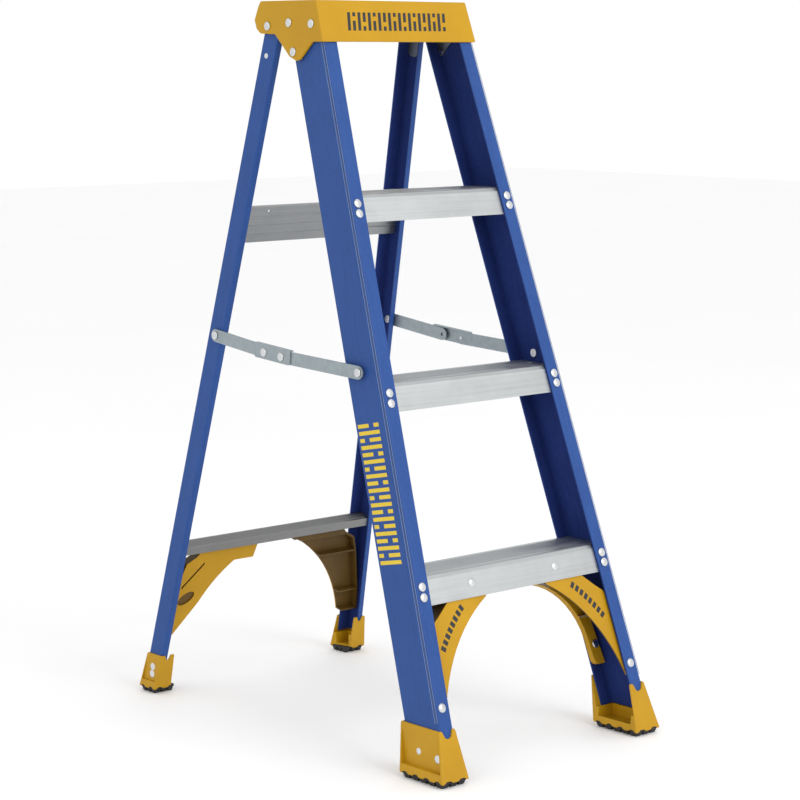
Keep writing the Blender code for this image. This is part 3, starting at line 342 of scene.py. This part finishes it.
# painted shade: the darker navy tone inside the rails' channels
NAVY_PAINTED_SHADE = ((0.018, 0.037, 0.175), (0.011, 0.024, 0.125))
YELLOW = ((0.52, 0.285, 0.007), (0.45, 0.240, 0.006))
# painted shade: the darker olive tone in the braces' pockets
OLIVE_PAINTED_SHADE = ((0.115, 0.062, 0.010), (0.075, 0.042, 0.008))
FRONT_INSIDE = (RAIL_WALL / 2, FRONT_WEB - RAIL_WALL / 2)
REAR_INSIDE = (-REAR_WEB_AHEAD + RAIL_WALL / 2, REAR_WEB_BEHIND - RAIL_WALL / 2)
FRONT_BRACE_INSIDE = (0.0071, 0.0615)
REAR_BRACE_INSIDE = {"left": (-0.0094, FAR_AWAY), "right": (-FAR_AWAY, 0.0042)}

DRAWN = (3, 420, 420)  # lines across the ladder

MATERIALS = {
    "cap": plastic("cap_plastic", (0.52, 0.285, 0.006), (0.475, 0.255, 0.005), 0.42, 0.12),
    "foot": plastic("foot_plastic", *YELLOW, 0.45, 0.2),
    "aluminium": brushed("step_aluminium", (0.53, 0.55, 0.555), (0.46, 0.48, 0.485), 0.45, DRAWN),
    # painted shade: the rear horizontals take the steps' brushed aluminium in darker tones, the lower
    # one darkest, for the shade they stand in
    "upper": brushed("upper_aluminium_painted_shade", (0.36, 0.37, 0.375), (0.30, 0.31, 0.315), 0.48, DRAWN),
    "lower": brushed("lower_aluminium_painted_shade", (0.27, 0.273, 0.27), (0.22, 0.223, 0.22), 0.48, DRAWN),
    "galvanised": galvanised("spreader_steel"),
    # darker steel for the brackets and the hinge plate
    "dark_steel": brushed("plated_steel", (0.20, 0.22, 0.26), (0.14, 0.155, 0.19), 0.5, (120, 120, 120)),
    "rivet": brushed("rivet_steel", (0.70, 0.71, 0.72), (0.60, 0.61, 0.62), 0.3, (500, 500, 500), 0.08),
    "rubber": rubber("pad_rubber"),
    "black_ink": flat_tone("black_print", (0.03, 0.03, 0.03), (0.010, 0.010, 0.010), 0.5),
    "yellow_ink": flat_tone("yellow_print", (0.78, 0.58, 0.03), (0.68, 0.48, 0.02), 0.5),
    # painted highlight and painted shade for the strips along the front rails' corners
    "painted_bead_highlight": flat_tone("rail_highlight", (0.22, 0.33, 0.56), (0.14, 0.23, 0.47), 0.5),
    "painted_groove_shade": flat_tone("rail_shade", (0.030, 0.066, 0.205), (0.022, 0.050, 0.165), 0.5),
}
for label, side in SIDES.items():
    front, rear = front_rail_frame(side), rear_rail_frame(side)
    MATERIALS["front_rail_" + label] = fibreglass(
        "front_fibreglass_" + label, FRONT_LEAN, *BLUE, NAVY_PAINTED_SHADE, front, side, FRONT_INSIDE
    )
    MATERIALS["rear_rail_" + label] = fibreglass(
        "rear_fibreglass_" + label, -REAR_LEAN, *BLUE, NAVY_PAINTED_SHADE, rear, side, REAR_INSIDE
    )
    # painted shade in the braces' pockets
    MATERIALS["front_brace_" + label] = plastic(
        "front_brace_plastic_" + label, *YELLOW, 0.45, 0.2, (OLIVE_PAINTED_SHADE, (FRONT_FRAME, FRONT_BRACE_INSIDE))
    )
    shaded_hollow = (OLIVE_PAINTED_SHADE, (REAR_FRAME, REAR_BRACE_INSIDE[label]))
    MATERIALS["rear_brace_" + label] = plastic(
        "rear_brace_plastic_" + label, *YELLOW, 0.45, 0.2, shaded_hollow
    )


def material_of(node):
    """The first rule whose word is in the node's name; rails and braces have a material each."""
    rules = (
        ("rivet", "rivet"), ("pivot", "rivet"), ("shoe_tread", "rubber"), ("shoe", "foot"),
        ("top_cap", "cap"), ("step_", "aluminium"), ("horizontal_upper", "upper"),
        ("horizontal_lower", "lower"), ("bracket", "dark_steel"), ("hinge_plate", "dark_steel"),
        ("spreader", "galvanised"), (node, node),
    )
    return MATERIALS[next(key for word, key in rules if word in node)]


for name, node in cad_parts.items():
    for slot in node.material_slots:
        slot.material = material_of(name)


# Small pieces that the CAD model leaves out


def new_piece(name, bm, matrix, material, body):
    """A piece with its place in its vertices; it moves with the body and, if given, fills a slot."""
    bmesh.ops.recalc_face_normals(bm, faces=bm.faces)
    mesh = bpy.data.meshes.new(name)
    bm.to_mesh(mesh)
    bm.free()
    mesh.transform(matrix)
    mesh.materials.append(MATERIALS[material])
    piece = bpy.data.objects.new(name, mesh)
    bpy.context.scene.collection.objects.link(piece)
    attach(piece, body)
    return piece


def rivet_head(name, matrix, body, size=RIVET_HEAD):
    """A domed head on a thin rim, standing out along its own Z."""
    radius, height = size
    dome_radius = radius - RIVET_RIM
    profile = [(radius, -RIVET_RIM), (radius, RIVET_RIM)]
    for i in range(DOME_STEPS):
        turn = QUARTER_TURN * i / DOME_STEPS
        rise = (height - RIVET_RIM) * math.sin(turn)
        profile.append((dome_radius * math.cos(turn), RIVET_RIM + rise))
    bm = bmesh.new()
    rings = []
    for r, z in profile:
        turns = (math.tau * i / RIVET_STEPS for i in range(RIVET_STEPS))
        rings.append([bm.verts.new((r * math.cos(t), r * math.sin(t), z)) for t in turns])
    for lower, upper in zip(rings, rings[1:]):
        for i in range(RIVET_STEPS):
            j = (i + 1) % RIVET_STEPS
            bm.faces.new((lower[i], lower[j], upper[j], upper[i]))
    tip = bm.verts.new((0, 0, height))
    for i in range(RIVET_STEPS):
        bm.faces.new((rings[-1][i], rings[-1][(i + 1) % RIVET_STEPS], tip))
    bm.faces.new(rings[0][::-1])
    for face in bm.faces:
        face.smooth = len(face.verts) < RIVET_STEPS
    return new_piece(name, bm, matrix, "rivet", body)


def plates(name, outlines, thickness, matrix, material, body):
    """Thin printed plates, also used for the painted highlight and shade strips: outlines are across
    and up, and the print stands out along its own Z.
    """
    bm = bmesh.new()
    for outline in outlines:
        back = [bm.verts.new((x, y, -PLATE_SUNK)) for x, y in outline]
        face = [bm.verts.new((x, y, thickness)) for x, y in outline]
        bm.faces.new(back[::-1])
        bm.faces.new(face)
        for i in range(len(outline)):
            j = (i + 1) % len(outline)
            bm.faces.new((back[i], back[j], face[j], face[i]))
    return new_piece(name, bm, matrix, material, body)


def slanted(middle, low, high, width, slant):
    """A stroke's outline, from low to high, leaning by the slant over its height."""
    lean = slant * (high - low) / 2
    return [
        (middle - width / 2 - lean, low), (middle + width / 2 - lean, low),
        (middle + width / 2 + lean, high), (middle - width / 2 + lean, high),
    ]


def strokes(span, low, high, pitch, width, slant):
    """A row of slanted strokes; every other one is broken in two."""
    start, end = span
    count = round((end - start) / pitch)
    outlines = []
    for i in range(count):
        middle = start + (end - start) * (i + 0.5) / count
        if i % 2:
            gap = (high - low) * BREAK
            centre = (high + low) / 2 + (high - low) * BREAK_PLACES[i // 2 % 2]
            shift = slant * (centre - (high + low) / 2)
            upper = slant * ((high + centre) / 2 + gap / 2 - (high + low) / 2)
            lower = slant * ((low + centre) / 2 - gap / 2 - (high + low) / 2)
            outlines.append(slanted(middle + lower, low, centre - gap, width, slant))
            outlines.append(slanted(middle + upper, centre + gap, high, width, slant))
        else:
            outlines.append(slanted(middle, low, high, width, slant))
    return outlines


def on_web(matrix, side, depth, along):
    """Where a rivet's head stands out of a web's outer face."""
    return matrix @ Matrix.Translation((0, depth, along)) @ Matrix.Rotation(side * QUARTER_TURN, 4, "Y")


def on_web_at(matrix, side, y, z):
    """The same, for a place seen from the side."""
    local = matrix.inverted() @ Vector((side * FRONT_HALF_WIDTH, y, z))
    return on_web(matrix, side, local.y, local.z)


def shoe_rivets(name, section, rail, side, places):
    """Rivets through a shoe's outer wall."""
    proud = Matrix.Translation((side * SHOE_PROUD, 0, 0))
    for i, (y, z) in enumerate(places):
        rivet_head(f"{name}_{i}", proud @ on_web_at(rail, side, y, z), section)


def add_rivets():
    corners = (FRONT_FRAME.inverted() @ v.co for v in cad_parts["step_bottom"].data.vertices)
    apron = min(corner.y for corner in corners)
    for label, side in SIDES.items():
        front, rear = front_rail_frame(side), rear_rail_frame(side)
        shoe_rivets(f"front_shoe_rivet_{label}", "front_section", front, side, FRONT_SHOE_RIVETS)
        shoe_rivets(f"rear_shoe_rivet_{label}", "rear_section", rear, side, REAR_SHOE_RIVETS)
        inset, height = LOWER_FLANGE_RIVET
        along = height / math.cos(FRONT_LEAN) / math.cos(FRONT_FLARE)
        place = Matrix.Translation((-side * inset, 0, along))
        rivet_head(f"lower_flange_rivet_{label}", front @ place @ FACING, "front_section")
        for part, (x, z), depth in (("apron", APRON_RIVET, apron), ("brace", BRACE_RIVET, BRACE_TAB)):
            up = (z + depth * math.sin(FRONT_LEAN)) / math.cos(FRONT_LEAN)
            place = FRONT_FRAME @ Matrix.Translation((side * x, depth, up))
            rivet_head(f"{part}_rivet_{label}", place @ FACING, "front_section")
        place = on_web_at(rear, side, *REAR_TOP_RIVET)
        rivet_head(f"rear_top_rivet_{label}", place, "rear_section", SMALL_RIVET_HEAD)


def web_face(side):
    """A front rail's outer face, with Z outward, X across the web and Y along it."""
    return front_rail_frame(side) @ Matrix.Rotation(side * QUARTER_TURN, 4, "Z") @ FACING


def add_prints_and_painted_light():
    cap = FRONT_FRAME @ Matrix.Translation((0, CAP_PRINT_DEPTH, 0)) @ FACING
    rows = strokes(CAP_PRINT_ACROSS, *CAP_PRINT_ALONG, *CAP_STROKES)
    plates("cap_print", rows, PLATE_THICKNESS, cap, "black_ink", "front_section")
    lying = strokes(RAIL_PRINT_ALONG, *RAIL_PRINT_DEPTHS, *RAIL_STROKES)
    rows = [[(-depth, along) for along, depth in loop] for loop in lying]
    plates("rail_print", rows, PLATE_THICKNESS, web_face(SIDES["left"]), "yellow_ink", "front_section")
    brace = FRONT_FRAME @ Matrix.Translation((0, BRACE_FACE, 0)) @ FACING
    for label, side in SIDES.items():
        # painted highlight and shade strips beside the rail's front corner
        for part, edges in PAINTED_RAIL_LIGHT.items():
            low, high = sorted(side * edge for edge in edges)
            bottom, top = PAINTED_RAIL_LIGHT_SPAN
            bars = [[(low, bottom), (high, bottom), (high, top), (low, top)]]
            material = "painted_bead_highlight" if "light" in part else "painted_groove_shade"
            plates(f"{part}_{label}", bars, PLATE_THICKNESS, web_face(side), material, "front_section")
        plates(f"brace_print_{label}", brace_strokes(side), PLATE_THICKNESS, brace, "black_ink", "front_section")


def brace_strokes(side):
    """Short strokes on an arc along a front brace."""
    centre_x, centre_z, radius = BRACE_MARK
    first, last = BRACE_MARK_ANGLES
    half_wide, half_tall = BRACE_MARK_SIZE
    outlines = []
    for i in range(BRACE_MARKS):
        turn = math.radians(first + i * (last - first) / (BRACE_MARKS - 1))
        out = Vector((math.cos(turn), math.sin(turn)))
        along = Vector((-out.y, out.x))
        middle = Vector((centre_x, centre_z)) + radius * out
        shifts = ((-1, -1), (1, -1), (1, 1), (-1, 1))
        corners = [middle + a * half_wide * along + b * half_tall * out for a, b in shifts]
        outlines.append([(side * corner.x, corner.y / math.cos(FRONT_LEAN)) for corner in corners])
    return outlines


add_rivets()
add_prints_and_painted_light()


# Stage, light and camera

FLOOR_SIZE = 14
FLOOR_DROP = 0.0004
FLOOR_TONES = ((0.94, 0.94, 0.945), (0.97, 0.97, 0.97))
TARGET = (0, 0, 0.6)
CAMERA_PLACE = (-2.63195, -2.9921, 1.10172)
CAMERA_DOWN = math.radians(8.15)
CAMERA_TURN = math.radians(41.56)
CAMERA_LENS = 108.8
CAMERA_SENSOR = 36


def add_floor():
    n = Nodes("floor")
    tone = n.noise(n.coords(), 1.3, 2, 0.5)
    material = n.set(Base_Color=n.colour(tone, *FLOOR_TONES), Roughness=0.7)
    mesh = bpy.data.meshes.new("floor")
    bm = bmesh.new()
    bmesh.ops.create_grid(bm, x_segments=1, y_segments=1, size=FLOOR_SIZE)
    bm.to_mesh(mesh)
    bm.free()
    mesh.materials.append(material)
    floor = bpy.data.objects.new("floor", mesh)
    floor.location.z = -FLOOR_DROP
    bpy.context.scene.collection.objects.link(floor)


def add_light(name, place, size, power):
    data = bpy.data.lights.new(name, "AREA")
    data.shape = "RECTANGLE"
    data.size, data.size_y = size
    data.energy = power
    light = bpy.data.objects.new(name, data)
    light.location = place
    light.rotation_euler = (Vector(TARGET) - Vector(place)).to_track_quat("-Z", "Y").to_euler()
    bpy.context.scene.collection.objects.link(light)


def add_world():
    world = bpy.data.worlds.new("studio")
    world.use_nodes = True
    background = world.node_tree.nodes["Background"]
    background.inputs["Color"].default_value = (1, 1, 1, 1)
    background.inputs["Strength"].default_value = 1.0
    bpy.context.scene.world = world
    bpy.context.scene.view_settings.view_transform = "Standard"


def add_camera():
    data = bpy.data.cameras.new("camera")
    data.sensor_width = CAMERA_SENSOR
    data.lens = CAMERA_LENS
    camera = bpy.data.objects.new("camera", data)
    camera.location = CAMERA_PLACE
    camera.rotation_euler = (QUARTER_TURN - CAMERA_DOWN, 0, -CAMERA_TURN)
    bpy.context.scene.collection.objects.link(camera)
    bpy.context.scene.camera = camera


add_floor()
add_world()
add_light("key", (0.3, -3.9, 2.6), (2.2, 2.2), 66)
add_light("fill", (-3.4, -0.6, 2.2), (2.4, 2.4), 6)
add_camera()
